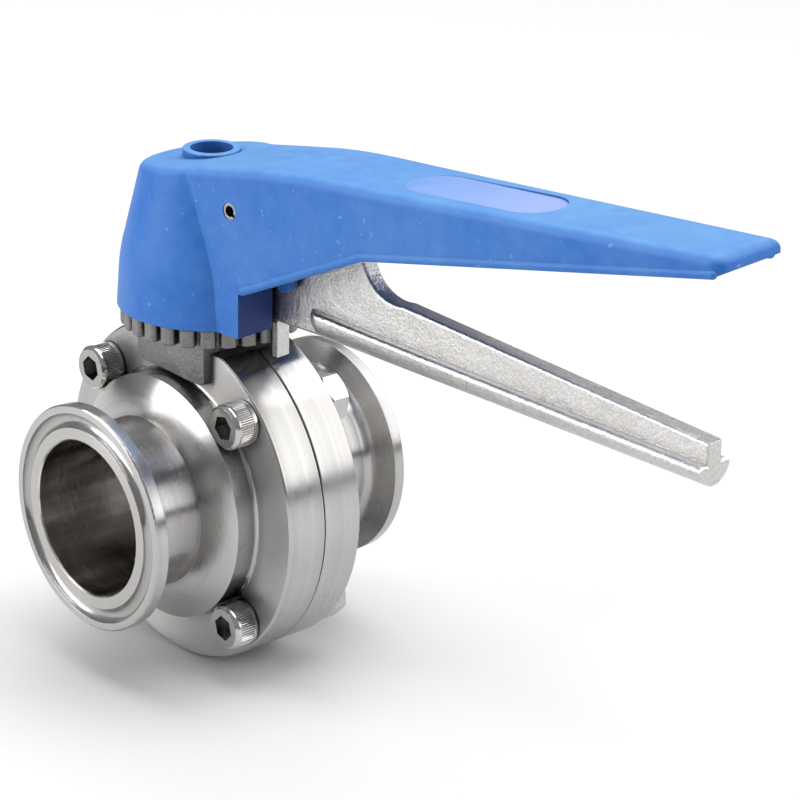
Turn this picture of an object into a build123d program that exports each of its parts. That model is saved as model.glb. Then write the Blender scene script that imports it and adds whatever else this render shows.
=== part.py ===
"""Sanitary butterfly valve with clamp ends, pulled open by a squeeze-trigger handle.

Frame: the origin is where the pipe axis crosses the stem axis, in the body's split plane.
+Y runs along the pipe, away from the inlet, +Z runs up the stem, and +X runs across the pipe.
All sizes are in millimetres.
"""

from build123d import *
from math import cos, pi, radians, sin, sqrt
import os

os.makedirs("parts", exist_ok=True)

# ---------------------------------------------------------------- driving dimensions
# Pipe ends: 1.5 inch clamp ferrules
FACE_TO_FACE = 70.0
BORE_R = 17.4
NECK_R = 19.05
FERRULE_R = 25.25
FERRULE_RIM = 2.85
FERRULE_SLOPE = 20.0
LIP_ROUND = 0.45
GASKET_GROOVE_R = 21.8
GASKET_GROOVE_WIDTH = 1.6

# Body halves
FLANGE_R = 38.5
FLANGE_THICK = 10.0
HUB_R = 27.6
HUB_END = 15.3
SHOULDER_START = 18.7
HUB_FOOT_ROUND = 0.9
TOP_FLAT_Z = 35.3
RIM_EDGE = 0.4
SPLIT_EDGE = 0.2
SPLIT_GAP = 0.13
SPLIT_GAP_R = 36.5

# Body screws and nuts, M6
BOLT_CIRCLE_R = 33.0
SCREW_R = 3.0
SCREW_HOLE_R = 3.2
HEAD_R = 5.0
HEAD_HEIGHT = 6.0
KNURL_COUNT = 60
KNURL_DEPTH = 0.17
KNURL_START = 1.3
KNURL_END = 4.8
SPOT_FACE_R = 5.65
HEX_KEY = 5.0
HEX_DEPTH = 3.0
NUT_ACROSS = 10.0
NUT_HEIGHT = 5.0
SCREW_PAST_NUT = 1.2

# Seat, disc, stem and stem bushings
SEAT_R = 23.0
SEAT_HALF_WIDTH = 6.0
FIT_GAP = 0.05
DISC_R = 17.15
DISC_RIM_HALF = 1.0
DISC_MIDDLE_HALF = 2.8
DISC_BOSS_R = 6.3
STEM_R = 5.0
STEM_BOTTOM_Z = -31.0
STEM_TOP_Z = 63.0
SQUARE = 8.0
SQUARE_START_Z = 47.5
BUSHING_R = 7.4
LOWER_POCKET_Z = -33.5
O_RING_WIRE_R = 1.15

# Index plate
PLATE_BOTTOM_Z = 38.0
PLATE_TOP_Z = 42.0
TOOTH_COUNT = 27
TOOTH_TIP_R = 20.0
TOOTH_ROOT_R = 17.7
TOOTH_WIDTH = 3.5
TOOTH_ROUND = 1.1
TOOTH_EDGE = 0.4
EAR_HALF_WIDTH = 12.0
EAR_BOTTOM_Z = 28.4
EAR_OUTER_Y = 12.1
EAR_GAP = 0.05
EAR_CORNER_R = 1.2
EAR_CREASE = ((-1.6, 34.1), (5.8, 27.8))
EAR_FACET_ANGLE = 5.0

# Handle, with its own cross directions: it stands 5 degrees past square to the pipe
HANDLE_TURN = 5.0
WALL = 2.2
HANDLE_BOTTOM_Z = 42.3
HUB_FOOT_R = 20.7
HUB_SLOPE_START = (18.8, 58.5)
HUB_SLOPE_END = (14.4, 77.0)
SIDE_Y = 13.6
SKIRT_X = 22.0
TIP_X = 141.3
TIP_HALF_WIDTH = 9.2
TIP_CORNER_R = 3.0
HUB_TOP_Z = 75.4
HUB_TOP_SLOPE = 0.17
ROOF_START = (56.0, 82.3)
ROOF_SLOPE = 0.0618
EDGE_START = (SKIRT_X, 52.1)
EDGE_KINK = (55.5, 67.6)
EDGE_END = (139.2, 83.2)
TIP_LOWER_Z = 84.5
EDGE_ROUND = 2.2
BEAD_R = 0.92
BEAD_OUT = 0.5
BEAD_RISE = 0.45
BEAD_TIP_RISE = 0.75
BEAD_TIP_GAP = 2.0
BEAD_BEND_R = 8.0
BOSS_R = 6.3
BOSS_TOP_Z = 76.8
BOSS_TOP_ROUND = 0.25
BOSS_FOOT_Z = 74.0
BOSS_FOOT_OUT = 0.9
BOSS_FOOT_RISE = 1.6
BOSS_FOOT_TAPER = 40
KEY_HOLE_R = 4.65
POST_R = 10.3
INSERT_ACROSS = 14.0
INSERT_BOTTOM_Z = 48.0
INSERT_TOP_Z = 63.0
SCREW_SEAT_Z = 66.0
HANDLE_SCREW_R = 2.45
HANDLE_SCREW_HEAD_R = 4.25
HANDLE_SCREW_HEAD_HEIGHT = 5.0
WASHER_THICK = 1.0
SLOT_HALF_WIDTH = 3.5
FRONT_WALL_TOP_Z = 60.0
RIB_THICK = 1.8
OVAL_START_X = 58.5
OVAL_LENGTH = 38.0
OVAL_WIDTH = 14.4
OVAL_DEPTH = 0.5

# Trigger, its pin, its guides and its spring
PIN_X = 19.3
PIN_Z = 69.7
PIN_R = 1.82
PIN_HOLE_R = 1.9
PIN_BORE_R = 1.2
PIN_SLOT = 0.8
PIN_HALF_LENGTH = 13.45
PIN_BOSS_R = 4.8
GUIDE_X = 27.2
GUIDE_Z = 54.0
GUIDE_R = 2.0
GUIDE_GAP = 3.5
GUIDE_THICK = 2.1
WEB_HALF = 2.15
WEB_ROUND = 0.7
TRIGGER_BOSS_R = 5.5
TRIGGER_BOSS_HALF = 5.0
LEG_X = 17.5
LEG_BOTTOM_Z = 43.3
TRIGGER_END_X = 136.3
TRIGGER_END_TOP_Z = 48.3
GRIP_R = 4.75
GRIP_ROUND = 1.0
GRIP_START_X = 31.7
GRIP_AXIS_Z = 47.8
GRIP_AXIS_SLOPE = -0.0359
SHELF_Z = 49.3
SHELF_SLOPE = -0.0515
LUG_INNER_X = 20.3
LUG_OUTER_X = 21.9
LUG_HALF_WIDTH = 1.75
LUG_BOTTOM_Z = 35.1
SPRING_X = 34.5
SPRING_SEAT_Z = 69.6
SPRING_ROOF_Z = 78.0
SPRING_COIL_R = 3.1
SPRING_WIRE_R = 0.4
SPRING_TURNS = 5
SPIGOT_R = 2.1
SPIGOT_LENGTH = 1.6

# ---------------------------------------------------------------- planes and helpers
ALONG = Vector(cos(radians(HANDLE_TURN)), sin(radians(HANDLE_TURN)), 0)
ACROSS = Vector(-sin(radians(HANDLE_TURN)), cos(radians(HANDLE_TURN)), 0)
UP = Vector(0, 0, 1)


def level(height):
    """Horizontal plane at a height, with x along the handle."""
    return Plane(origin=(0, 0, height), x_dir=ALONG, z_dir=UP)


def side(across=0.0):
    """Upright plane along the handle: local x runs to the tip, local y runs up."""
    return Plane(origin=ACROSS * across, x_dir=ALONG, z_dir=-ACROSS)


def save(part, name):
    """Label a finished piece and write it to its own file."""
    part.label = name
    export_step(part, f"parts/{name}.step")


# ---------------------------------------------------------------- body halves
def body_half():
    """Inlet half, on the -Y side: ferrule, neck, shouldered hub and bolted flange."""
    face_y = -FACE_TO_FACE / 2
    rim_y = face_y + FERRULE_RIM
    slope_run = 4.2
    slope_y = rim_y + slope_run * sin(radians(FERRULE_SLOPE)) / cos(radians(FERRULE_SLOPE))
    slope_r = FERRULE_R - slope_run
    neck_blend = slope_r - NECK_R
    pocket = SEAT_R + FIT_GAP
    flange_y = -FLANGE_THICK
    foot_y = flange_y - HUB_FOOT_ROUND
    short = 1 - cos(pi / 4)
    with BuildPart() as half:
        with BuildSketch(Plane.XY):
            with BuildLine():
                Polyline(
                    (BORE_R, -SEAT_HALF_WIDTH - FIT_GAP),
                    (BORE_R, face_y + 0.3),
                    (BORE_R + 0.3, face_y),
                    (FERRULE_R - LIP_ROUND, face_y),
                )
                ThreePointArc(
                    (FERRULE_R - LIP_ROUND, face_y),
                    (FERRULE_R - LIP_ROUND * short, face_y + LIP_ROUND * short),
                    (FERRULE_R, face_y + LIP_ROUND),
                )
                Polyline((FERRULE_R, face_y + LIP_ROUND), (FERRULE_R, rim_y), (slope_r, slope_y))
                ThreePointArc(
                    (slope_r, slope_y),
                    (NECK_R + neck_blend * 0.32, slope_y + neck_blend * 0.42),
                    (NECK_R, slope_y + neck_blend * 1.3),
                )
                Line((NECK_R, slope_y + neck_blend * 1.3), (NECK_R, -SHOULDER_START))
                ThreePointArc((NECK_R, -SHOULDER_START), (23.6, -17.3), (HUB_R, -HUB_END))
                Line((HUB_R, -HUB_END), (HUB_R, foot_y))
                ThreePointArc(
                    (HUB_R, foot_y),
                    (HUB_R + HUB_FOOT_ROUND * short, flange_y - HUB_FOOT_ROUND * short),
                    (HUB_R + HUB_FOOT_ROUND, flange_y),
                )
                Polyline(
                    (HUB_R + HUB_FOOT_ROUND, flange_y),
                    (FLANGE_R - RIM_EDGE, flange_y),
                    (FLANGE_R, flange_y + RIM_EDGE),
                    (FLANGE_R, -SPLIT_GAP - SPLIT_EDGE),
                    (FLANGE_R - SPLIT_EDGE, -SPLIT_GAP),
                    (SPLIT_GAP_R, -SPLIT_GAP),
                    (SPLIT_GAP_R, 0),
                    (pocket, 0),
                    (pocket, -SEAT_HALF_WIDTH - FIT_GAP),
                    (BORE_R, -SEAT_HALF_WIDTH - FIT_GAP),
                )
            make_face()
        revolve(axis=Axis.Y)
        # round-bottomed groove for the clamp gasket's bead
        with BuildSketch(Plane.XY):
            with Locations((GASKET_GROOVE_R, face_y - 0.2)):
                Circle(GASKET_GROOVE_WIDTH)
        revolve(axis=Axis.Y, mode=Mode.SUBTRACT)
        # flat on top of the flange, under the index plate
        with BuildSketch(Plane.XY.offset(TOP_FLAT_Z)):
            with Locations((0, -FLANGE_THICK / 2)):
                Rectangle(4 * FLANGE_R, FLANGE_THICK + 2)
        extrude(amount=FLANGE_R, mode=Mode.SUBTRACT)
        # half bores for the stem bushings, opening into the seat's pocket
        bore = BUSHING_R + FIT_GAP
        bore_start = sqrt(pocket**2 - bore**2)
        with BuildSketch(Plane.XY.offset(bore_start)):
            Circle(bore)
        extrude(amount=FLANGE_R, mode=Mode.SUBTRACT)
        with BuildSketch(Plane.XY.offset(-bore_start)):
            Circle(bore)
        extrude(amount=LOWER_POCKET_Z + bore_start, mode=Mode.SUBTRACT)
        # screw holes, and spot faces for the heads
        with BuildSketch(Plane.XZ):
            with PolarLocations(BOLT_CIRCLE_R, 4, start_angle=45):
                Circle(SCREW_HOLE_R)
        extrude(amount=2 * FLANGE_THICK, both=True, mode=Mode.SUBTRACT)
        with BuildSketch(Plane.XZ.offset(FLANGE_THICK)):
            with PolarLocations(BOLT_CIRCLE_R, 4, start_angle=45):
                Circle(SPOT_FACE_R)
        extrude(amount=HUB_FOOT_ROUND + 0.05, mode=Mode.SUBTRACT)
    return half.part


inlet_half = body_half()
save(inlet_half, "inlet_body_half")
save(inlet_half.mirror(Plane.XZ), "outlet_body_half")

# ---------------------------------------------------------------- seat ring
with BuildPart() as seat_ring:
    with BuildSketch(Plane.XZ):
        Circle(SEAT_R)
        Circle(BORE_R, mode=Mode.SUBTRACT)
    extrude(amount=SEAT_HALF_WIDTH, both=True)
    with BuildSketch(Plane.XY):
        Circle(STEM_R + FIT_GAP)
    extrude(amount=2 * SEAT_R, both=True, mode=Mode.SUBTRACT)
save(seat_ring.part, "seat_ring")

# ---------------------------------------------------------------- disc with its stem
with BuildPart() as valve_disc:
    with BuildSketch(Plane.XY):
        with BuildLine():
            Polyline(
                (0, -DISC_MIDDLE_HALF),
                (DISC_BOSS_R, -DISC_MIDDLE_HALF),
                (DISC_R - 0.4, -DISC_RIM_HALF),
                (DISC_R, -DISC_RIM_HALF + 0.4),
                (DISC_R, DISC_RIM_HALF - 0.4),
                (DISC_R - 0.4, DISC_RIM_HALF),
                (DISC_BOSS_R, DISC_MIDDLE_HALF),
                (0, DISC_MIDDLE_HALF),
                close=True,
            )
        make_face()
    revolve(axis=Axis.Y)
    with BuildSketch(Plane.XY):
        Circle(DISC_BOSS_R)
    extrude(amount=sqrt(DISC_R**2 - DISC_BOSS_R**2) - 0.2, both=True)
    with BuildSketch(Plane.XY.offset(STEM_BOTTOM_Z)):
        Circle(STEM_R)
    extrude(amount=STEM_TOP_Z - STEM_BOTTOM_Z)
    # the stem's top end is square, so that the handle can turn it
    with BuildSketch(level(SQUARE_START_Z)):
        Circle(2 * STEM_R)
        Rectangle(SQUARE, SQUARE, mode=Mode.SUBTRACT)
    extrude(amount=STEM_TOP_Z, mode=Mode.SUBTRACT)
    # tapped hole for the handle's screw
    with BuildSketch(Plane.XY.offset(STEM_TOP_Z)):
        Circle(2.5)
    extrude(amount=-12, mode=Mode.SUBTRACT)
    chamfer(valve_disc.edges().group_by(Axis.Z)[0], 0.5)
save(valve_disc.part, "disc_with_stem")


# ---------------------------------------------------------------- stem bushings and seals
def sleeve(bottom, top):
    """Plain bushing around the stem."""
    with BuildPart() as ring:
        with BuildSketch(Plane.XY.offset(bottom)):
            Circle(BUSHING_R)
            Circle(STEM_R + FIT_GAP, mode=Mode.SUBTRACT)
        extrude(amount=top - bottom)
    return ring.part


def o_ring(height):
    """Round seal between the stem and the bushing bore."""
    with BuildPart() as ring:
        with BuildSketch(Plane.XZ):
            with Locations(((BUSHING_R + STEM_R + FIT_GAP) / 2, height)):
                Circle(O_RING_WIRE_R)
        revolve(axis=Axis.Z)
    return ring.part


ring_room = 2 * O_RING_WIRE_R + 0.1
save(o_ring(SEAT_R + 0.1 + O_RING_WIRE_R), "upper_stem_seal")
save(sleeve(SEAT_R + 0.1 + ring_room, TOP_FLAT_Z), "upper_stem_bushing")
save(o_ring(-SEAT_R - 0.1 - O_RING_WIRE_R), "lower_stem_seal")
save(sleeve(LOWER_POCKET_Z + 0.1, -SEAT_R - 0.1 - ring_room), "lower_stem_bushing")

# ---------------------------------------------------------------- index plate
tooth_pitch = 360 / TOOTH_COUNT
tooth_length = TOOTH_TIP_R - TOOTH_ROOT_R + 2 * TOOTH_ROUND
with BuildPart() as toothed_ring:
    with BuildSketch(level(PLATE_BOTTOM_Z)):
        Circle(TOOTH_ROOT_R)
        for index in range(TOOTH_COUNT):
            turn = tooth_pitch * (index + 0.5)
            with Locations(Location((0, 0, 0), (0, 0, turn))):
                with Locations((TOOTH_TIP_R - tooth_length / 2, 0)):
                    RectangleRounded(tooth_length, TOOTH_WIDTH, TOOTH_ROUND)
    extrude(amount=PLATE_TOP_Z - PLATE_BOTTOM_Z)
    fillet(toothed_ring.edges().group_by(Axis.Z)[0], TOOTH_EDGE)

crease_start, crease_end = (Vector(x, -EAR_OUTER_Y, z) for x, z in EAR_CREASE)
crease = (crease_end - crease_start).normalized()
tilt = radians(EAR_FACET_ANGLE)
facet = Plane(
    origin=crease_start,
    x_dir=crease,
    z_dir=Vector(0, -cos(tilt), 0) + Vector(crease.Z, 0, -crease.X) * sin(tilt),
)
with BuildPart() as index_plate:
    # saddle over the flange's flat, with an ear down the front and the back of the flanges
    with BuildSketch(Plane.XY.offset(TOP_FLAT_Z + EAR_GAP)):
        Rectangle(2 * EAR_HALF_WIDTH, 2 * EAR_OUTER_Y)
    extrude(amount=PLATE_BOTTOM_Z - TOP_FLAT_Z)
    ear_inner = FLANGE_THICK + EAR_GAP
    for facing in (-1, 1):
        with BuildSketch(Plane.XY.offset(EAR_BOTTOM_Z)):
            with Locations((0, facing * (EAR_OUTER_Y + ear_inner) / 2)):
                Rectangle(2 * EAR_HALF_WIDTH, EAR_OUTER_Y - ear_inner)
        extrude(amount=PLATE_BOTTOM_Z - EAR_BOTTOM_Z)
    fillet(index_plate.edges().filter_by(Axis.Y).group_by(Axis.Z)[0], EAR_CORNER_R)
    # shallow facet across each ear's lower corner, tilted back from a slanting crease
    for turn in (0, 180):
        with BuildSketch(Plane(Rot(0, 0, turn) * facet.location)):
            with Locations((0, -2 * EAR_HALF_WIDTH)):
                Rectangle(4 * EAR_HALF_WIDTH, 4 * EAR_HALF_WIDTH)
        extrude(amount=EAR_OUTER_Y / 2, mode=Mode.SUBTRACT)
    add(toothed_ring.part)
    with BuildSketch(Plane.XY):
        Circle(STEM_R + 0.3)
    extrude(amount=PLATE_TOP_Z + 1, mode=Mode.SUBTRACT)
save(index_plate.part, "index_plate")


# ---------------------------------------------------------------- body screws and nuts
def cap_screw(shank_length):
    """M6 socket cap screw along +Y: the head's seat is at y = 0 and its face is at -HEAD_HEIGHT."""
    head_face = Plane(origin=(0, -HEAD_HEIGHT, 0), x_dir=(1, 0, 0), z_dir=(0, 1, 0))
    with BuildPart() as screw:
        with BuildSketch(Plane.XY):
            with BuildLine():
                Polyline(
                    (0, -HEAD_HEIGHT),
                    (HEAD_R - 0.7, -HEAD_HEIGHT),
                    (HEAD_R - 0.15, -HEAD_HEIGHT + 0.55),
                    (HEAD_R, -HEAD_HEIGHT + 0.9),
                    (HEAD_R, -0.3),
                    (HEAD_R - 0.2, 0),
                    (SCREW_R, 0),
                    (SCREW_R, shank_length - 0.6),
                    (SCREW_R - 0.6, shank_length),
                    (0, shank_length),
                    close=True,
                )
            make_face()
        revolve(axis=Axis.Y)
        # straight knurl round the head
        with BuildSketch(head_face.offset(KNURL_START)):
            with PolarLocations(HEAD_R + 0.06, KNURL_COUNT):
                Rectangle(2 * KNURL_DEPTH, 2 * KNURL_DEPTH, rotation=45)
        extrude(amount=KNURL_END - KNURL_START, mode=Mode.SUBTRACT)
        with BuildSketch(head_face):
            RegularPolygon(HEX_KEY / 2, 6, major_radius=False, rotation=30)
        extrude(amount=HEX_DEPTH, mode=Mode.SUBTRACT)
    return screw.part


def hex_nut():
    """M6 nut along +Y from y = 0, with both faces chamfered."""
    start = Plane(origin=(0, 0, 0), x_dir=(1, 0, 0), z_dir=(0, 1, 0))
    corner_r = NUT_ACROSS / sqrt(3)
    with BuildPart() as nut:
        with BuildSketch(start):
            RegularPolygon(NUT_ACROSS / 2, 6, major_radius=False, rotation=30)
        extrude(amount=NUT_HEIGHT)
        with BuildSketch(Plane.XY):
            with BuildLine():
                Polyline(
                    (SCREW_R + FIT_GAP, 0),
                    (NUT_ACROSS / 2, 0),
                    (corner_r + 0.1, 0.5),
                    (corner_r + 0.1, NUT_HEIGHT - 0.5),
                    (NUT_ACROSS / 2, NUT_HEIGHT),
                    (SCREW_R + FIT_GAP, NUT_HEIGHT),
                    close=True,
                )
            make_face()
        revolve(axis=Axis.Y, mode=Mode.INTERSECT)
    return nut.part


def at_bolts(piece, along):
    """Copies of a piece at the four screw positions."""
    start = Pos(BOLT_CIRCLE_R, along, 0) * piece
    return Compound(children=[Rot(0, 45 + 90 * index, 0) * start for index in range(4)])


shank = 2 * FLANGE_THICK + NUT_HEIGHT + SCREW_PAST_NUT
save(at_bolts(cap_screw(shank), -FLANGE_THICK), "body_screws")
save(at_bolts(hex_nut(), FLANGE_THICK), "body_nuts")


# ---------------------------------------------------------------- handle
def roof_outline(drop, lower):
    """The handle's side view below its roof line, with a drop from that line.

    The lower list closes the outline from the tip's end back to the hub.
    """
    back_x = -HUB_FOOT_R - 2
    bend_x = 24.0
    far_x = TIP_X + 5
    roof_x, roof_z = ROOF_START
    back = (back_x, HUB_TOP_Z + HUB_TOP_SLOPE * back_x - drop)
    bend = (bend_x, HUB_TOP_Z + HUB_TOP_SLOPE * bend_x - drop)
    bend_handle = (bend_x + 12, bend[1] + 12 * HUB_TOP_SLOPE)
    roof = (roof_x, roof_z - drop)
    roof_handle = (roof_x - 12, roof_z - 12 * ROOF_SLOPE - drop)
    far = (far_x, roof_z + ROOF_SLOPE * (far_x - roof_x) - drop)
    with BuildSketch() as outline:
        with BuildLine():
            Line(back, bend)
            Bezier(bend, bend_handle, roof_handle, roof)
            Line(roof, far)
            Polyline(far, *lower, back)
        make_face()
    return outline.sketch


def is_rim(edge):
    """True for an edge that runs along the roof's rim, or across it at the tip."""
    runs_across = abs(edge.tangent_at(0.5).dot(ACROSS)) > 0.99
    return not runs_across or edge.center().X > TIP_X - 5


def hub_form(inset, outline, rounding):
    """The tapered round hub, drawn in by an inset and cut to a side view."""
    slope_start_r, slope_start_z = HUB_SLOPE_START
    slope_end_r, slope_end_z = HUB_SLOPE_END
    foot_top = (20.2 - inset, 50.0)
    with BuildPart() as hub:
        with BuildSketch(Plane.XZ):
            with BuildLine():
                Polyline((0, HANDLE_BOTTOM_Z), (HUB_FOOT_R - inset, HANDLE_BOTTOM_Z), foot_top)
                ThreePointArc(foot_top, (19.75 - inset, 54.2), (slope_start_r - inset, slope_start_z))
                Polyline(
                    (slope_start_r - inset, slope_start_z),
                    (slope_end_r - inset, slope_end_z),
                    (0, 2 * slope_end_z),
                    (0, HANDLE_BOTTOM_Z),
                )
            make_face()
        revolve(axis=Axis.Z)
        with BuildSketch(side()):
            add(outline)
        extrude(amount=40, both=True, mode=Mode.INTERSECT)
        if rounding:
            top = hub.faces().filter_by(GeomType.PLANE).sort_by(Axis.Z)[-1]
            fillet(top.edges(), rounding)
    return hub.part


def arm_form(inset, outline, rounding):
    """The flat-sided arm, narrowing to its tip, drawn in by an inset and cut to a side view."""
    with BuildPart() as arm:
        with BuildSketch(level(HANDLE_BOTTOM_Z - 1)):
            with BuildLine():
                Polyline(
                    (0, SIDE_Y - inset),
                    (SKIRT_X, SIDE_Y - inset),
                    (TIP_X - inset, TIP_HALF_WIDTH - inset),
                    (TIP_X - inset, -TIP_HALF_WIDTH + inset),
                    (SKIRT_X, -SIDE_Y + inset),
                    (0, -SIDE_Y + inset),
                    close=True,
                )
            make_face()
        extrude(amount=60)
        fillet(arm.edges().filter_by(Axis.Z).group_by(Axis.X)[-1], TIP_CORNER_R - inset)
        with BuildSketch(side()):
            add(outline)
        extrude(amount=40, both=True, mode=Mode.INTERSECT)
        if rounding:
            roof = arm.faces().filter_by(lambda face: face.normal_at().Z > 0.9)
            fillet(roof.edges().filter_by(is_rim), rounding)
    return arm.part


def roof_height(along):
    """Height of the arm's roof line at a distance from the stem."""
    return ROOF_START[1] + ROOF_SLOPE * (along - ROOF_START[0])


under_edge = [
    (TIP_X + 5, TIP_LOWER_Z),
    (EDGE_END[0], TIP_LOWER_Z),
    EDGE_END,
    EDGE_KINK,
    EDGE_START,
    (SKIRT_X, HANDLE_BOTTOM_Z),
    (-HUB_FOOT_R - 2, HANDLE_BOTTOM_Z),
]
outer_outline = roof_outline(0, under_edge)
hub_outer = hub_form(0, outer_outline, EDGE_ROUND)
arm_outer = arm_form(0, outer_outline, EDGE_ROUND)


def half_width(along):
    """Half of the arm's width at a distance from the stem."""
    return SIDE_Y - (SIDE_Y - TIP_HALF_WIDTH) * (along - SKIRT_X) / (TIP_X - SKIRT_X)


def bead(facing):
    """Round bead along one lower edge of the arm, with a blunt end at the tip's corner."""
    inward = BEAD_R - BEAD_OUT
    start_x = SKIRT_X + BEAD_R
    edge_slope = (EDGE_KINK[1] - EDGE_START[1]) / (EDGE_KINK[0] - EDGE_START[0])
    start_z = EDGE_START[1] + BEAD_RISE + BEAD_R * edge_slope
    end_x = TIP_X - BEAD_TIP_GAP
    end_z = EDGE_END[1] + BEAD_TIP_RISE
    path = [
        (start_x, half_width(start_x) - inward, start_z),
        (EDGE_KINK[0], half_width(EDGE_KINK[0]) - inward, EDGE_KINK[1] + BEAD_RISE),
        (end_x, TIP_HALF_WIDTH - inward, end_z),
    ]
    points = [ALONG * x + ACROSS * facing * y + UP * z for x, y, z in path]
    with BuildPart() as rod:
        with BuildLine():
            line = FilletPolyline(*points, radius=BEAD_BEND_R)
        with BuildSketch(Plane(origin=line @ 0, z_dir=line % 0)):
            Circle(BEAD_R)
        sweep(path=line)
        with Locations(points[0], points[-1]):
            Sphere(BEAD_R)
    return rod.part


open_below = [(TIP_X + 5, HANDLE_BOTTOM_Z), (-HUB_FOOT_R - 2, HANDLE_BOTTOM_Z)]
inner_outline = roof_outline(WALL, open_below)
hub_hollow = hub_form(WALL, inner_outline, 0)
arm_hollow = arm_form(WALL, inner_outline, 0)

with BuildPart() as handle_shell:
    add(hub_outer)
    add(arm_outer)
    add(bead(-1))
    add(bead(1))
    add(hub_hollow, mode=Mode.SUBTRACT)
    add(arm_hollow, mode=Mode.SUBTRACT)
    # front wall of the skirt
    with BuildSketch(level(HANDLE_BOTTOM_Z)):
        with Locations((SKIRT_X - WALL / 2, 0)):
            Rectangle(WALL, 2 * SIDE_Y - WALL)
    extrude(amount=FRONT_WALL_TOP_Z - HANDLE_BOTTOM_Z)
    # stem post, tied to the side and back walls by ribs, and the raised ring on top
    with BuildSketch(level(INSERT_BOTTOM_Z)):
        Circle(POST_R)
        Rectangle(RIB_THICK, 2 * SIDE_Y + WALL)
        with Locations((-SIDE_Y / 2 - WALL, 0)):
            Rectangle(SIDE_Y, RIB_THICK)
    extrude(amount=SCREW_SEAT_Z + 5 - INSERT_BOTTOM_Z)
    with BuildSketch(level(SCREW_SEAT_Z)):
        Circle(BOSS_R)
    extrude(amount=BOSS_TOP_Z - SCREW_SEAT_Z)
    ring_top = handle_shell.faces().filter_by_position(Axis.Z, BOSS_TOP_Z - 0.1, BOSS_TOP_Z + 0.1)
    fillet(ring_top.filter_by(Axis.Z).edges(), BOSS_TOP_ROUND)
    with BuildSketch(level(BOSS_FOOT_Z)):
        Circle(BOSS_R + BOSS_FOOT_OUT)
    extrude(amount=BOSS_FOOT_RISE, taper=BOSS_FOOT_TAPER)
    # pocket for the drive insert, hole for the screw, and well for its head
    with BuildSketch(level(HANDLE_BOTTOM_Z)):
        RegularPolygon(INSERT_ACROSS / 2 + FIT_GAP, 6, major_radius=False)
    extrude(amount=INSERT_TOP_Z - HANDLE_BOTTOM_Z, mode=Mode.SUBTRACT)
    with BuildSketch(level(INSERT_TOP_Z)):
        Circle(HANDLE_SCREW_R + 0.25)
    extrude(amount=BOSS_TOP_Z - INSERT_TOP_Z, mode=Mode.SUBTRACT)
    with BuildSketch(level(SCREW_SEAT_Z)):
        Circle(KEY_HOLE_R)
    extrude(amount=BOSS_TOP_Z - SCREW_SEAT_Z, mode=Mode.SUBTRACT)
    # bosses for the trigger's pin, and guides that hang from the roof beside the trigger's web
    guide_top = roof_height(GUIDE_X) - WALL / 2 - 0.4
    for facing in (-1, 1):
        outer = side(facing * (SIDE_Y - WALL / 2))
        with BuildSketch(outer):
            with Locations((PIN_X, PIN_Z)):
                Circle(PIN_BOSS_R)
        extrude(amount=facing * (SIDE_Y - WALL / 2 - TRIGGER_BOSS_HALF - 0.4))
        with BuildSketch(side(facing * GUIDE_GAP)):
            with Locations((GUIDE_X, GUIDE_Z)):
                Circle(GUIDE_R)
            with Locations((GUIDE_X, (guide_top + GUIDE_Z) / 2)):
                Rectangle(2 * GUIDE_R, guide_top - GUIDE_Z)
        extrude(amount=-facing * GUIDE_THICK)
    with BuildSketch(side()):
        with Locations((PIN_X, PIN_Z)):
            Circle(PIN_R + 0.01)
    extrude(amount=2 * SIDE_Y, both=True, mode=Mode.SUBTRACT)
    # spring seat under the roof
    with BuildSketch(level(SPRING_ROOF_Z)):
        with Locations((SPRING_X, 0)):
            Circle(SPRING_COIL_R + 1)
    extrude(amount=roof_height(SPRING_X) - WALL / 2 - SPRING_ROOF_Z)
    with BuildSketch(level(SPRING_ROOF_Z)):
        with Locations((SPRING_X, 0)):
            Circle(SPIGOT_R)
    extrude(amount=-SPIGOT_LENGTH)
    # slot in the front wall for the trigger's web
    with BuildSketch(level(HANDLE_BOTTOM_Z)):
        with Locations((SKIRT_X, 0)):
            Rectangle(3 * WALL, 2 * SLOT_HALF_WIDTH)
    extrude(amount=FRONT_WALL_TOP_Z - HANDLE_BOTTOM_Z, mode=Mode.SUBTRACT)
    # shallow oval thumb rest, deepening towards the tip
    rest_slope = ROOF_SLOPE - OVAL_DEPTH / OVAL_LENGTH
    rest = Plane(
        origin=ALONG * OVAL_START_X + UP * roof_height(OVAL_START_X),
        x_dir=ALONG + UP * rest_slope,
        z_dir=UP - ALONG * rest_slope,
    )
    with BuildSketch(rest):
        with Locations((OVAL_LENGTH / 2, 0)):
            SlotOverall(OVAL_LENGTH, OVAL_WIDTH)
    extrude(amount=2, mode=Mode.SUBTRACT)
save(handle_shell.part, "handle_shell")

with BuildPart() as stem_drive_insert:
    with BuildSketch(level(INSERT_BOTTOM_Z)):
        RegularPolygon(INSERT_ACROSS / 2, 6, major_radius=False)
        Rectangle(SQUARE + 0.1, SQUARE + 0.1, mode=Mode.SUBTRACT)
    extrude(amount=INSERT_TOP_Z - INSERT_BOTTOM_Z)
save(stem_drive_insert.part, "stem_drive_insert")

with BuildPart() as handle_screw_washer:
    with BuildSketch(Plane.XY.offset(SCREW_SEAT_Z)):
        Circle(HANDLE_SCREW_HEAD_R + 0.25)
        Circle(HANDLE_SCREW_R + 0.2, mode=Mode.SUBTRACT)
    extrude(amount=WASHER_THICK)
save(handle_screw_washer.part, "handle_screw_washer")

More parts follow.
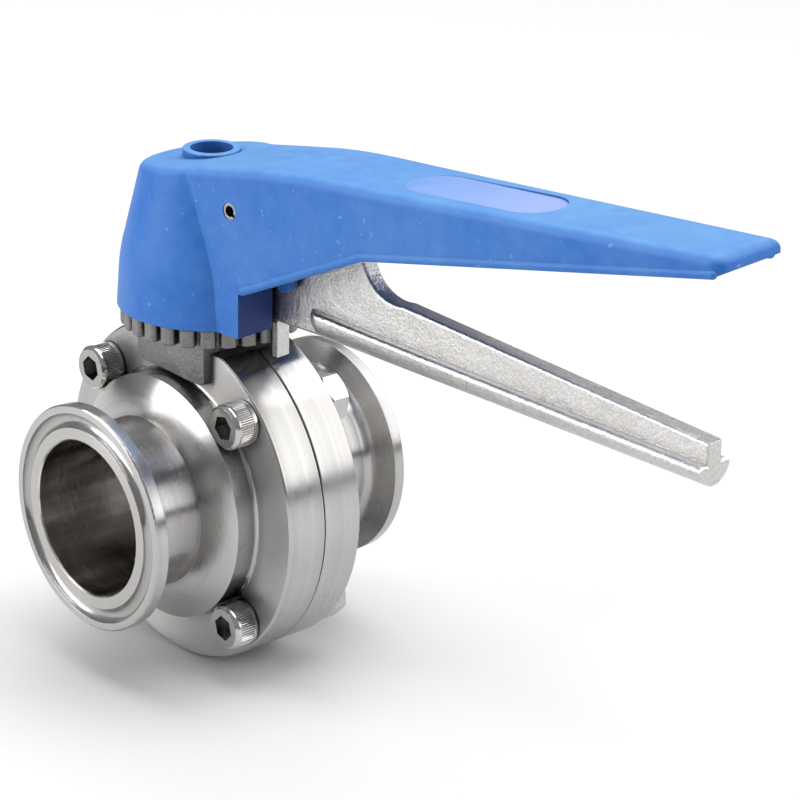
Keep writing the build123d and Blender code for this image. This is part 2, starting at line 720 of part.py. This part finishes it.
head_seat_z = SCREW_SEAT_Z + WASHER_THICK
head_top_z = head_seat_z + HANDLE_SCREW_HEAD_HEIGHT
with BuildPart() as handle_screw:
    with BuildSketch(Plane.XY.offset(head_seat_z)):
        Circle(HANDLE_SCREW_HEAD_R)
    extrude(amount=HANDLE_SCREW_HEAD_HEIGHT)
    chamfer(handle_screw.edges().group_by(Axis.Z)[-1], 0.5)
    with BuildSketch(Plane.XY.offset(head_seat_z)):
        Circle(HANDLE_SCREW_R)
    extrude(amount=-14)
    with BuildSketch(Plane.XY.offset(head_top_z)):
        RegularPolygon(2, 6, major_radius=False)
    extrude(amount=-2.6, mode=Mode.SUBTRACT)
save(handle_screw.part, "handle_screw")

# slotted spring pin that carries the trigger
with BuildPart() as trigger_pin:
    with BuildSketch(side()):
        with Locations((PIN_X, PIN_Z)):
            Circle(PIN_R)
            Circle(PIN_BORE_R, mode=Mode.SUBTRACT)
        with Locations(Location((PIN_X, PIN_Z), -35)):
            with Locations((PIN_R, 0)):
                Rectangle(2 * PIN_R, PIN_SLOT, mode=Mode.SUBTRACT)
    extrude(amount=PIN_HALF_LENGTH, both=True)
save(trigger_pin.part, "trigger_pin")

# ---------------------------------------------------------------- trigger
def sloped(along, height, slope):
    """Plane square to a line in the handle's side view; local y is up from the line."""
    return Plane(
        origin=ALONG * along + UP * height,
        x_dir=ACROSS,
        z_dir=ALONG + UP * slope,
    )


grip_length = TRIGGER_END_X - GRIP_START_X - GRIP_R
with BuildPart() as web:
    with BuildSketch(side()):
        with BuildLine():
            Polyline((46.9, 62.5), (45.5, 67.5), (43.5, SPRING_SEAT_Z - 0.4), (27.5, SPRING_SEAT_Z))
            Polyline((27.5, SPRING_SEAT_Z), (PIN_X, PIN_Z), (LEG_X, PIN_Z - 3), (LEG_X, LEG_BOTTOM_Z))
            Polyline((LEG_X, LEG_BOTTOM_Z), (GRIP_START_X + 4, LEG_BOTTOM_Z), (TRIGGER_END_X, 42.6))
            Polyline((TRIGGER_END_X, 42.6), (TRIGGER_END_X, TRIGGER_END_TOP_Z), (58, 55.75))
            ThreePointArc((58, 55.75), (50.7, 57.3), (46.9, 62.5))
        make_face()
    extrude(amount=WEB_HALF, both=True)
    web_sides = web.faces().filter_by(lambda face: abs(face.normal_at().dot(ACROSS)) > 0.99)
    fillet(web_sides.edges(), WEB_ROUND)

with BuildPart() as grip:
    nose_x = GRIP_START_X + GRIP_R
    nose_z = GRIP_AXIS_Z + GRIP_AXIS_SLOPE * (nose_x - GRIP_START_X)
    with BuildSketch(sloped(nose_x, nose_z, GRIP_AXIS_SLOPE)):
        Circle(GRIP_R)
    extrude(amount=grip_length + 2)
    with Locations(ALONG * nose_x + UP * nose_z):
        Sphere(GRIP_R)
    # flat shelf on top, and a square end
    with BuildSketch(side()):
        with BuildLine():
            Polyline(
                (GRIP_START_X - 1, SHELF_Z),
                (TRIGGER_END_X, SHELF_Z + SHELF_SLOPE * (TRIGGER_END_X - GRIP_START_X)),
                (TRIGGER_END_X, SHELF_Z - 3 * GRIP_R),
                (GRIP_START_X - 1, SHELF_Z - 3 * GRIP_R),
                close=True,
            )
        make_face()
    extrude(amount=2 * GRIP_R, both=True, mode=Mode.INTERSECT)
    shelf = grip.faces().filter_by(GeomType.PLANE).sort_by(Axis.Z)[-1]
    fillet(shelf.edges(), GRIP_ROUND)

with BuildPart() as trigger_lever:
    add(web.part)
    with BuildSketch(side()):
        with Locations((PIN_X, PIN_Z)):
            Circle(TRIGGER_BOSS_R)
    extrude(amount=TRIGGER_BOSS_HALF, both=True)
    add(grip.part)
    # lug that drops between the plate's teeth
    with BuildSketch(level(LUG_BOTTOM_Z)):
        with Locations(((LUG_INNER_X + LUG_OUTER_X) / 2, 0)):
            Rectangle(LUG_OUTER_X - LUG_INNER_X, 2 * LUG_HALF_WIDTH)
    extrude(amount=LEG_BOTTOM_Z + 0.5 - LUG_BOTTOM_Z)
    # spring seat and spigot
    with BuildSketch(level(SPRING_SEAT_Z)):
        with Locations((SPRING_X, 0)):
            Circle(SPRING_COIL_R + 1)
    extrude(amount=-2.5)
    with BuildSketch(level(SPRING_SEAT_Z)):
        with Locations((SPRING_X, 0)):
            Circle(SPIGOT_R)
    extrude(amount=SPIGOT_LENGTH)
    with BuildSketch(side()):
        with Locations((PIN_X, PIN_Z)):
            Circle(PIN_HOLE_R)
    extrude(amount=2 * TRIGGER_BOSS_HALF, both=True, mode=Mode.SUBTRACT)
save(trigger_lever.part, "trigger_lever")

# return spring, between the trigger and the roof
coil_bottom = SPRING_SEAT_Z + SPRING_WIRE_R + 0.05
coil_top = SPRING_ROOF_Z - SPRING_WIRE_R - 0.05
coil_height = coil_top - coil_bottom
with BuildPart() as trigger_spring:
    with BuildLine(Plane(origin=ALONG * SPRING_X + UP * coil_bottom, x_dir=ALONG, z_dir=UP)):
        coil = Helix(pitch=coil_height / SPRING_TURNS, height=coil_height, radius=SPRING_COIL_R)
    with BuildSketch(Plane(origin=coil @ 0, z_dir=coil % 0)):
        Circle(SPRING_WIRE_R)
    sweep(path=coil)
save(trigger_spring.part, "trigger_spring")
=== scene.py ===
"""Looks for the sanitary butterfly valve: procedural metals and plastic, studio light and camera.

Lengths are in metres, in the model's own frame: +Y along the pipe, +Z up the stem.
"""

from math import cos, radians, sin

import bpy
from mathutils import Matrix, Vector


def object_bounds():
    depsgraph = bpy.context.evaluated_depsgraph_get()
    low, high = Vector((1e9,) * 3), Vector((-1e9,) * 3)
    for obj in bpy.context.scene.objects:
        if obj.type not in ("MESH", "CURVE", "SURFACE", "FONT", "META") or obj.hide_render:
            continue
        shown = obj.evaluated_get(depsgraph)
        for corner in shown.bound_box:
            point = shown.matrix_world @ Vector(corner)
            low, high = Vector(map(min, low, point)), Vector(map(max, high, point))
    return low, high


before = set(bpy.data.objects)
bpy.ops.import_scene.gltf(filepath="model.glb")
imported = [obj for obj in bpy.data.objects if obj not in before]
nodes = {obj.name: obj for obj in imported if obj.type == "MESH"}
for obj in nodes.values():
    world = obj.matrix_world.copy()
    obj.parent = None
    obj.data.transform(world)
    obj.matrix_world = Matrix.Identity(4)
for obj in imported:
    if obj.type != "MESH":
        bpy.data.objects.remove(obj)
cad_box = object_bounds()

# ---------------------------------------------------------------- camera
CAMERA_AZIMUTH = radians(47.26)
CAMERA_ELEVATION = radians(21.08)
CAMERA_ROLL = radians(1.25)
CAMERA_DISTANCE = 0.64226
CAMERA_AIM = Vector((0.0232, 0.0349, 0.0173))
CAMERA_LENS = 129.53
CAMERA_NEAR = 0.01


def make_camera():
    """Long-lens camera, placed by its angles round the point that it looks at."""
    back = Vector((
        sin(CAMERA_AZIMUTH) * cos(CAMERA_ELEVATION),
        -cos(CAMERA_AZIMUTH) * cos(CAMERA_ELEVATION),
        sin(CAMERA_ELEVATION),
    ))
    level = Vector((cos(CAMERA_AZIMUTH), sin(CAMERA_AZIMUTH), 0))
    above = back.cross(level)
    right = level * cos(CAMERA_ROLL) + above * sin(CAMERA_ROLL)
    up = above * cos(CAMERA_ROLL) - level * sin(CAMERA_ROLL)
    turn = Matrix((right, up, back)).transposed().to_4x4()
    data = bpy.data.cameras.new("camera")
    data.lens = CAMERA_LENS
    data.clip_start = CAMERA_NEAR
    camera = bpy.data.objects.new("camera", data)
    camera.matrix_world = Matrix.Translation(CAMERA_AIM + back * CAMERA_DISTANCE) @ turn
    bpy.context.scene.collection.objects.link(camera)
    bpy.context.scene.camera = camera


# ---------------------------------------------------------------- node trees
BEVEL_SAMPLES = 4
CREVICE_SAMPLES = 6
# how far the rounded normal agrees with the flat one, on a sharp edge and away from it
AGREE_SHARP = 0.86
AGREE_FLAT = 0.995
# share of open space round a point, deep in a crevice and out of it
OPEN_DEEP = 0.15
OPEN_CLEAR = 0.85
# the range that a noise mostly keeps to
NOISE_LOW = 0.3
NOISE_HIGH = 0.7


class Tree:
    """A node tree, with short calls for the nodes used here."""

    def __init__(self, tree):
        self.tree = tree

    def put(self, socket, value):
        """Links a socket, or sets the number or colour on it."""
        if isinstance(value, bpy.types.NodeSocket):
            self.tree.links.new(value, socket)
        else:
            socket.default_value = value

    def node(self, kind, inputs=(), **settings):
        """A new node, with its settings and then its inputs, in order or by name."""
        node = self.tree.nodes.new(kind)
        for key, value in settings.items():
            setattr(node, key, value)
        pairs = inputs.items() if isinstance(inputs, dict) else enumerate(inputs)
        for key, value in pairs:
            self.put(node.inputs[key], value)
        return node

    def math(self, operation, *values):
        return self.node("ShaderNodeMath", values, operation=operation).outputs[0]

    def times(self, first, second):
        return self.math("MULTIPLY", first, second)

    def plus(self, first, second):
        return self.math("ADD", first, second)

    def length(self, first, second):
        """Length of a flat vector, from its two parts."""
        return self.math("SQRT", self.plus(self.math("POWER", first, 2.0), self.math("POWER", second, 2.0)))

    def split(self, vector):
        """The x, y and z of a vector."""
        return self.node("ShaderNodeSeparateXYZ", (vector,)).outputs

    def join(self, x, y, z):
        return self.node("ShaderNodeCombineXYZ", (x, y, z)).outputs[0]

    def dot(self, vector, direction):
        """How far a vector goes along a direction."""
        node = self.node("ShaderNodeVectorMath", (vector, direction), operation="DOT_PRODUCT")
        return node.outputs["Value"]

    def spread(self, value, low, high, start=NOISE_LOW, end=NOISE_HIGH):
        """Maps a value that goes from a start to an end, as a noise does, to a low and a high."""
        return self.node("ShaderNodeMapRange", (value, start, end, low, high)).outputs[0]


class Graph(Tree):
    """A material's node tree."""

    def __init__(self, name, **shader):
        self.material = bpy.data.materials.new(name)
        self.material.use_nodes = True
        super().__init__(self.material.node_tree)
        self.shader = self.tree.nodes["Principled BSDF"]
        for socket, value in shader.items():
            self.put(self.shader.inputs[socket.replace("_", " ")], value)
        coordinates = self.node("ShaderNodeTexCoord").outputs
        self.place = coordinates["Object"]
        self.facing = coordinates["Normal"]

    def noise(self, scale, detail=2.0, vector=None, rough=0.5):
        inputs = {"Vector": vector or self.place, "Scale": scale, "Detail": detail, "Roughness": rough}
        return self.node("ShaderNodeTexNoise", inputs).outputs["Fac"]

    def blend(self, share, first, second):
        """Mixes two colours by a share from 0 to 1."""
        node = self.node("ShaderNodeMix", data_type="RGBA")
        self.put(node.inputs[0], share)
        self.put(node.inputs[6], first)
        self.put(node.inputs[7], second)
        return node.outputs[2]

    def mix(self, share, first, second):
        """Mixes two numbers by a share from 0 to 1."""
        return self.node("ShaderNodeMix", {0: share, 2: first, 3: second}).outputs[0]

    def soft_edges(self, radius):
        """The normal with its sharp edges rounded, and a share that is 1 on those edges."""
        rounded = self.node("ShaderNodeBevel", {"Radius": radius}, samples=BEVEL_SAMPLES).outputs[0]
        flat = self.node("ShaderNodeNewGeometry").outputs["Normal"]
        return rounded, self.spread(self.dot(rounded, flat), 1.0, 0.0, AGREE_SHARP, AGREE_FLAT)

    def painted_crevice_shade(self, colour, reach, share, dark):
        """A colour blended towards a dark one where other surfaces are closer than a reach: painted shade in
        creases, corners and under overhangs.
        """
        occlusion = self.node("ShaderNodeAmbientOcclusion", {"Distance": reach}, samples=CREVICE_SAMPLES)
        enclosed = self.spread(occlusion.outputs["AO"], 1.0, 0.0, OPEN_DEEP, OPEN_CLEAR)
        return self.blend(self.times(enclosed, share), colour, dark)

    def bump(self, height, distance, strength, normal=None):
        inputs = {"Height": height, "Distance": distance, "Strength": strength}
        if normal is not None:
            inputs["Normal"] = normal
        return self.node("ShaderNodeBump", inputs).outputs[0]

    def finish(self, colour, roughness, normal):
        self.put(self.shader.inputs["Base Color"], colour)
        self.put(self.shader.inputs["Roughness"], roughness)
        self.put(self.shader.inputs["Normal"], normal)
        return self.material


def grey(value, warmth=0.0):
    """A neutral colour, a little warmer or cooler."""
    return (value * (1 + warmth), value, value * (1 - warmth), 1)


# ---------------------------------------------------------------- materials
# body: radii about the pipe axis
BORE_RADIUS = 0.0176
BORE_BLEND = 0.0002
HUB_RADIUS = 0.0277
# screws: their axes' distance from the pipe axis in x and in z, and their hex sockets
BOLT_OFFSET = 0.02333
SOCKET_RADIUS = 0.0028
SOCKET_MOUTH = 0.0158
# handle: its directions, its oval thumb rest, and its skirt's front wall
HANDLE_TURN = radians(5.0)
ALONG = (cos(HANDLE_TURN), sin(HANDLE_TURN), 0)
ACROSS = (-sin(HANDLE_TURN), cos(HANDLE_TURN), 0)
REST_MIDDLE = 0.0775
REST_HALF_STRAIGHT = 0.0118
REST_RADIUS = 0.0072
REST_BLEND = 0.0001
REST_FADE_START = REST_MIDDLE - 0.017
REST_FADE_END = REST_MIDDLE + 0.010
SKIRT_BACK = 0.0185
SKIRT_BACK_BLEND = 0.0005
SKIRT_FRONT = 0.0221
SKIRT_FRONT_BLEND = 0.0001
# how nearly a surface has to face a direction to count as a flat face across it
FLAT = 0.97
NEARLY_FLAT = 0.9

# tones and colours
TURNED_STEEL = 0.49
LEVER_STEEL = 0.62
PLATE_STEEL = 0.23
DISC_STEEL = 0.62
SCREW_STEEL = 0.54
SPRING_STEEL = 0.50
BLUE = (0.006, 0.112, 0.47, 1)
PALE_BLUE = (0.16, 0.35, 0.60, 1)
REST_BLUE = (0.29, 0.37, 0.76, 1)
SHADE_BLUE = (0.0, 0.008, 0.10, 1)
CREAM = (0.80, 0.78, 0.72, 1)
PALE_CREAM = (0.88, 0.87, 0.83, 1)


def turned_steel(tone):
    """Stainless steel turned about the pipe axis: fine tool rings, a soft circular grain, a tinted bore."""
    g = Graph("turned_steel", Metallic=1.0, Anisotropic=0.75, Anisotropic_Rotation=0.25)
    tangent = g.node("ShaderNodeTangent", direction_type="RADIAL", axis="Y").outputs[0]
    g.put(g.shader.inputs["Tangent"], tangent)
    x, y, z = g.split(g.place)
    radius = g.length(x, z)
    along_pipe = g.split(g.facing)[1]
    end_face = g.times(along_pipe, along_pipe)
    rings = g.join(radius, 0.0, 0.0)
    turns = g.join(0.0, y, 0.0)

    def tool_marks(scale):
        return g.mix(end_face, g.noise(scale, vector=turns), g.noise(scale, vector=rings))

    fine = tool_marks(scale=2400.0)
    bands = tool_marks(scale=380.0)
    smudge = g.noise(scale=45.0, detail=4.0, rough=0.6)
    streak = g.noise(scale=160.0, detail=3.0, vector=g.join(x, 0.0, z))
    rounded, edge = g.soft_edges(radius=0.00012)

    clean = g.blend(g.spread(smudge, 0.0, 1.0), grey(tone * 0.94, 0.025), grey(tone * 1.06, 0.012))
    outside = g.blend(g.spread(bands, 0.0, 0.32), clean, grey(tone * 0.62, 0.02))
    streaks = g.spread(streak, 0.0, 1.0, start=0.38, end=0.62)
    inside = g.blend(streaks, grey(tone * 0.38, 0.08), grey(tone * 1.25, 0.06))
    in_bore = g.spread(radius, 1.0, 0.0, BORE_RADIUS, BORE_RADIUS + BORE_BLEND)
    colour = g.blend(in_bore, outside, inside)
    worn = g.blend(g.times(edge, 0.5), colour, grey(0.85))
    # painted shade: the turned steel darkened where other surfaces are close, such as at the foot of the hub
    crevice_shaded = g.painted_crevice_shade(worn, reach=0.0048, share=0.85, dark=grey(0.05, 0.08))

    rough = g.plus(g.spread(bands, 0.19, 0.29), g.spread(smudge, -0.02, 0.06))
    on_end = g.math("GREATER_THAN", end_face, FLAT)
    flange_face = g.times(on_end, g.math("GREATER_THAN", radius, HUB_RADIUS))
    satin = g.plus(rough, g.times(flange_face, 0.14))
    ridges = g.plus(fine, g.times(bands, 0.8))
    height = g.times(ridges, g.spread(end_face, 0.05, 0.7, start=0.0, end=1.0))
    return g.finish(crevice_shaded, satin, g.bump(height, distance=0.00002, strength=0.15, normal=rounded))


def cast_steel(name, tone, grain, rough, depth):
    """Shot-blasted cast steel: a pitted skin with sparkling peaks, smoother and brighter along its edges."""
    g = Graph(name, Metallic=1.0)
    pits = g.noise(scale=grain, detail=3.0, rough=0.6)
    lumps = g.noise(scale=grain / 7, detail=3.0, rough=0.6)
    cloud = g.noise(scale=70.0, detail=3.0)
    rounded, edge = g.soft_edges(radius=0.00025)

    skin = g.blend(g.spread(pits, 0.0, 1.0), grey(tone * 0.74, 0.025), grey(tone * 1.18, 0.012))
    shaded = g.blend(g.spread(cloud, 0.0, 0.35), skin, grey(tone * 0.72, 0.03))
    worn = g.blend(g.times(edge, 0.35), shaded, grey(min(tone * 1.45, 0.9), 0.01))
    # painted shade: the cast steel darkened where other surfaces are close, such as between the teeth
    colour = g.painted_crevice_shade(worn, reach=0.0025, share=0.6, dark=grey(tone * 0.12, 0.06))

    roughness = g.plus(g.spread(pits, rough - 0.05, rough + 0.07), g.times(edge, -0.08))
    height = g.plus(pits, g.times(lumps, 1.6))
    return g.finish(colour, roughness, g.bump(height, distance=0.00014, strength=depth, normal=rounded))


def polished_steel(name, tone):
    """Bright drawn steel of the screws and nuts: faint marks, darker flat end faces, painted shade in the
    hex sockets and close corners.
    """
    g = Graph(name, Metallic=1.0)
    marks = g.noise(scale=900.0, detail=3.0)
    smudge = g.noise(scale=150.0, detail=3.0)
    rounded, edge = g.soft_edges(radius=0.00005)
    x, y, z = g.split(g.place)
    off_x, off_z = (g.math("SUBTRACT", g.math("ABSOLUTE", part), BOLT_OFFSET) for part in (x, z))
    in_socket = g.math("LESS_THAN", g.length(off_x, off_z), SOCKET_RADIUS)
    below_face = g.math("LESS_THAN", g.math("ABSOLUTE", y), SOCKET_MOUTH)
    flat_face = g.spread(g.math("ABSOLUTE", g.split(g.facing)[1]), 0.0, 0.8, start=0.85, end=FLAT)

    skin = g.blend(g.spread(smudge, 0.0, 1.0), grey(tone * 0.85, 0.03), grey(tone * 1.08, 0.01))
    # flat faces across the pipe axis, the screws' and nuts' end faces, drawn darker in places
    darker_end_faces = g.blend(g.times(flat_face, g.spread(smudge, 0.6, 1.0)), skin, grey(tone * 0.5, 0.03))
    worn = g.blend(g.times(edge, 0.5), darker_end_faces, grey(0.88))
    # painted shade where other surfaces are close
    colour = g.painted_crevice_shade(worn, reach=0.0012, share=0.8, dark=grey(0.06, 0.06))
    # painted shade deep inside the hex sockets
    socket_shaded = g.blend(g.times(g.times(in_socket, below_face), 0.4), colour, grey(0.05, 0.1))

    normal = g.bump(marks, distance=0.00002, strength=0.3, normal=rounded)
    return g.finish(socket_shaded, g.spread(marks, 0.13, 0.26), normal)


def moulded_plastic(name, colour, pale, rough):
    """Fine-grained moulded plastic: mottled, with painted light making it paler on top, paler along its
    edges, with painted shade in its recesses and creases, and a few pale flecks.

    Returns the graph and its colour, roughness and normal.
    """
    g = Graph(name, Specular_IOR_Level=0.3)
    grain = g.noise(scale=2400.0)
    mottle = g.noise(scale=260.0, detail=4.0, rough=0.65)
    cloud = g.noise(scale=38.0, detail=3.0)
    flecks = g.spread(g.noise(scale=620.0, detail=1.0), 0.0, 0.5, start=0.735, end=0.76)
    rounded, edge = g.soft_edges(radius=0.0002)
    upward = g.split(g.facing)[2]

    # random cloudy tone, plus painted light: faces turned upward drawn paler
    cloud_and_painted_top_light = g.plus(g.spread(cloud, 0.0, 0.20), g.spread(upward, 0.0, 0.40, start=0.3, end=1.0))
    tint = g.blend(g.plus(g.spread(mottle, 0.0, 0.16), cloud_and_painted_top_light), colour, pale)
    # painted shade: the plastic darkened towards a deep tone where other surfaces are close, in recesses and
    # under overhangs, and again in tight creases
    deep = tuple(0.3 * part for part in colour[:3]) + (1,)
    painted_hollow_shade = g.painted_crevice_shade(tint, reach=0.009, share=0.85, dark=deep)
    shaded = g.painted_crevice_shade(painted_hollow_shade, reach=0.0012, share=0.6, dark=deep)
    rubbed = g.blend(g.times(edge, 0.30), shaded, pale)
    flecked = g.blend(flecks, rubbed, pale)

    height = g.plus(grain, g.times(mottle, 0.5))
    normal = g.bump(height, distance=0.00006, strength=0.35, normal=rounded)
    return g, flecked, g.spread(mottle, rough - 0.06, rough + 0.07), normal


def handle_plastic():
    """Blue plastic, with a smoother and paler floor in its oval thumb rest and a shaded skirt front."""
    g, tint, rough, normal = moulded_plastic("blue_plastic", BLUE, PALE_BLUE, rough=0.46)
    along = g.dot(g.place, ALONG)
    across = g.dot(g.place, ACROSS)
    from_middle = g.math("ABSOLUTE", g.math("SUBTRACT", along, REST_MIDDLE))
    past = g.math("MAXIMUM", g.math("SUBTRACT", from_middle, REST_HALF_STRAIGHT), 0.0)
    in_oval = g.spread(g.length(past, across), 1.0, 0.0, REST_RADIUS - REST_BLEND, REST_RADIUS)
    rest = g.times(in_oval, g.math("GREATER_THAN", g.split(g.facing)[2], FLAT))
    fade = g.spread(along, 0.25, 0.8, REST_FADE_START, REST_FADE_END)
    rest_tint = g.blend(g.times(rest, fade), tint, REST_BLUE)

    past_hub = g.spread(along, 0.0, 1.0, SKIRT_BACK, SKIRT_BACK + SKIRT_BACK_BLEND)
    before_lever = g.spread(along, 1.0, 0.0, SKIRT_FRONT, SKIRT_FRONT + SKIRT_FRONT_BLEND)
    front_wall = g.math("GREATER_THAN", g.dot(g.facing, ALONG), NEARLY_FLAT)
    shaded = g.times(g.times(past_hub, before_lever), front_wall)
    colour = g.blend(g.times(shaded, 0.85), rest_tint, SHADE_BLUE)
    return g.finish(colour, g.math("SUBTRACT", rough, g.times(rest, 0.12)), normal)


def bearing_plastic():
    """Pale bearing plastic of the stem's bushings."""
    g, tint, rough, normal = moulded_plastic("bearing_plastic", CREAM, PALE_CREAM, rough=0.5)
    return g.finish(tint, rough, normal)


def rubber():
    """Black seal rubber with a bloom of dust."""
    g = Graph("seal_rubber")
    bloom = g.noise(scale=200.0, detail=3.0)
    tint = g.blend(g.spread(bloom, 0.0, 0.6), grey(0.012), grey(0.035))
    return g.finish(tint, g.spread(bloom, 0.6, 0.8), g.bump(bloom, distance=0.00004, strength=0.4))


def paint(material, *names):
    """Gives CAD nodes a material."""
    for name in names:
        nodes[name].data.materials.clear()
        nodes[name].data.materials.append(material)


# ---------------------------------------------------------------- studio
FLOOR_HALF = 4.0
FLOOR_GAP = 0.0002
WORLD_DARK = 0.03
WORLD_GREY = 0.36
WORLD_GLOW = 1.9
# heights above the horizon: where the dark band ends, and where the glow and the grey are full
BAND_TOP = 0.07
GLOW_FROM = 0.12
GREY_FROM = 0.16
# direction of the glow, and how nearly another direction has to agree with it
GLOW_TOWARDS = (0.62, 0.70, 0.35)
GLOW_EDGE = 0.70
GLOW_CORE = 0.90


def area_light(name, at, aim, side, power):
    """A square soft box at a point, facing another point."""
    data = bpy.data.lights.new(name, "AREA")
    data.shape = "RECTANGLE"
    data.size = data.size_y = side
    data.energy = power
    light = bpy.data.objects.new(name, data)
    facing = (Vector(aim) - Vector(at)).to_track_quat("-Z", "Y")
    light.matrix_world = Matrix.Translation(at) @ facing.to_matrix().to_4x4()
    bpy.context.scene.collection.objects.link(light)


def make_floor():
    """Plain pale floor just under the flanges."""
    low = cad_box[0][2] - FLOOR_GAP
    around = ((-1, -1), (1, -1), (1, 1), (-1, 1))
    corners = [(x * FLOOR_HALF, y * FLOOR_HALF, low) for x, y in around]
    mesh = bpy.data.meshes.new("floor")
    mesh.from_pydata(corners, [], [(0, 1, 2, 3)])
    floor = bpy.data.objects.new("floor", mesh)
    bpy.context.scene.collection.objects.link(floor)
    g = Graph("pale_floor")
    cloud = g.noise(scale=3.0)
    tint = g.blend(g.spread(cloud, 0.0, 1.0), grey(0.68), grey(0.70))
    mesh.materials.append(g.finish(tint, 0.7, g.bump(cloud, distance=0.0001, strength=0.1)))


def make_world():
    """Studio surroundings: a dark band above the horizon, then soft grey, brighter behind on the right."""
    world = bpy.data.worlds.new("studio")
    world.use_nodes = True
    bpy.context.scene.world = world
    t = Tree(world.node_tree)
    direction = t.node("ShaderNodeTexCoord").outputs["Generated"]
    height = t.split(direction)[2]
    above_band = t.spread(height, WORLD_DARK, WORLD_GREY, BAND_TOP, GREY_FROM)
    glow = t.spread(t.dot(direction, GLOW_TOWARDS), 0.0, WORLD_GLOW, GLOW_EDGE, GLOW_CORE)
    lifted = t.spread(height, 0.0, 1.0, BAND_TOP, GLOW_FROM)
    background = t.tree.nodes["Background"].inputs
    t.put(background["Color"], (1, 1, 1, 1))
    t.put(background["Strength"], t.math("MULTIPLY_ADD", glow, lifted, above_band))


make_camera()

steel = turned_steel(TURNED_STEEL)
blasted = cast_steel("blasted_steel", LEVER_STEEL, grain=2000.0, rough=0.32, depth=1.0)
dull = cast_steel("dull_cast_steel", PLATE_STEEL, grain=1500.0, rough=0.44, depth=1.0)
disc_steel = cast_steel("disc_steel", DISC_STEEL, grain=900.0, rough=0.24, depth=0.12)
bright = polished_steel("polished_steel", SCREW_STEEL)
spring = polished_steel("spring_steel", SPRING_STEEL)
blue = handle_plastic()
bearing = bearing_plastic()
seal = rubber()

paint(steel, "inlet_body_half", "outlet_body_half")
paint(disc_steel, "disc_with_stem", "stem_drive_insert")
paint(blasted, "trigger_lever")
paint(dull, "index_plate")
paint(bright, "body_screws", "body_nuts", "handle_screw", "handle_screw_washer")
paint(spring, "trigger_pin", "trigger_spring")
paint(blue, "handle_shell")
paint(bearing, "upper_stem_bushing", "lower_stem_bushing")
paint(seal, "seat_ring", "upper_stem_seal", "lower_stem_seal")

make_floor()
make_world()
area_light("overhead", at=(0.0, 0.2, 1.3), aim=(0.03, 0.02, 0), side=1.5, power=22)
area_light("front_left", at=(-0.62, -1.15, 0.50), aim=(0, 0, 0.02), side=0.9, power=13)

bpy.context.scene.view_settings.view_transform = "Standard"
